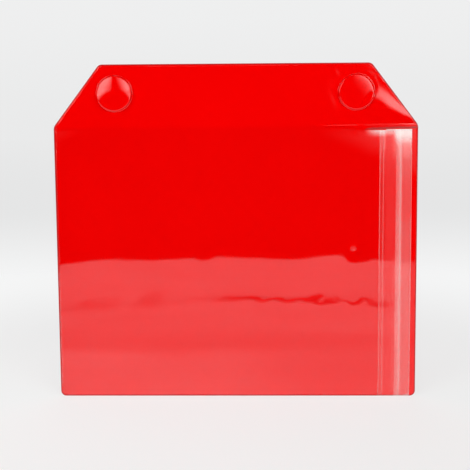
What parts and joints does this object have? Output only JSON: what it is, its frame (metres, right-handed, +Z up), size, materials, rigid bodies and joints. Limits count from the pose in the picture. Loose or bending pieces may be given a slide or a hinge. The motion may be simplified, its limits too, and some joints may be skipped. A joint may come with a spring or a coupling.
{
  "type": "magnetic display pocket",
  "caption": "Landscape display pocket in red foil with a clear front window, a press-to-close zip down its right side and a hinged head that holds disc magnets.",
  "frame": {"origin": "on the flat back face of the head, midway between the magnets", "axes": "+X to the right as seen from the front, towards the zip, +Z up along the hanging pocket, and +Y out of the back, so the clear window faces -Y"},
  "size_m": [0.33, 0.0057, 0.307],
  "materials": {
    "red_foil": "smooth glossy red foil",
    "clear_foil": "clear glossy foil",
    "milky_tape": "milky translucent extrusion",
    "magnet": "dull dark grey, sealed in"
  },
  "bodies": {
    "head": {"head_back_sheet": "red_foil", "head_cover_sheet": "red_foil", "magnet_left": "magnet", "magnet_right": "magnet"},
    "pocket": {"pocket_back_sheet": "red_foil", "window_sheet": "clear_foil", "zip_seam_strip": "milky_tape", "zip_rib_tape": "milky_tape"},
    "mouth_flap": {"zip_groove_tape": "milky_tape"}
  },
  "joints": [
    {"name": "pocket_fold", "type": "hinge", "parent": "head", "child": "pocket", "pos_m": [0, -0.00045, -0.03], "axis": [-1, 0, 0], "range_deg": [-90, 90]},
    {"name": "mouth_open", "type": "hinge", "parent": "pocket", "child": "mouth_flap", "pos_m": [0.137, -0.0055, -0.1555], "axis": [0, 0, -1], "range_deg": [0, 40], "stiffness_Nm_per_rad": 0.02}
  ]
}
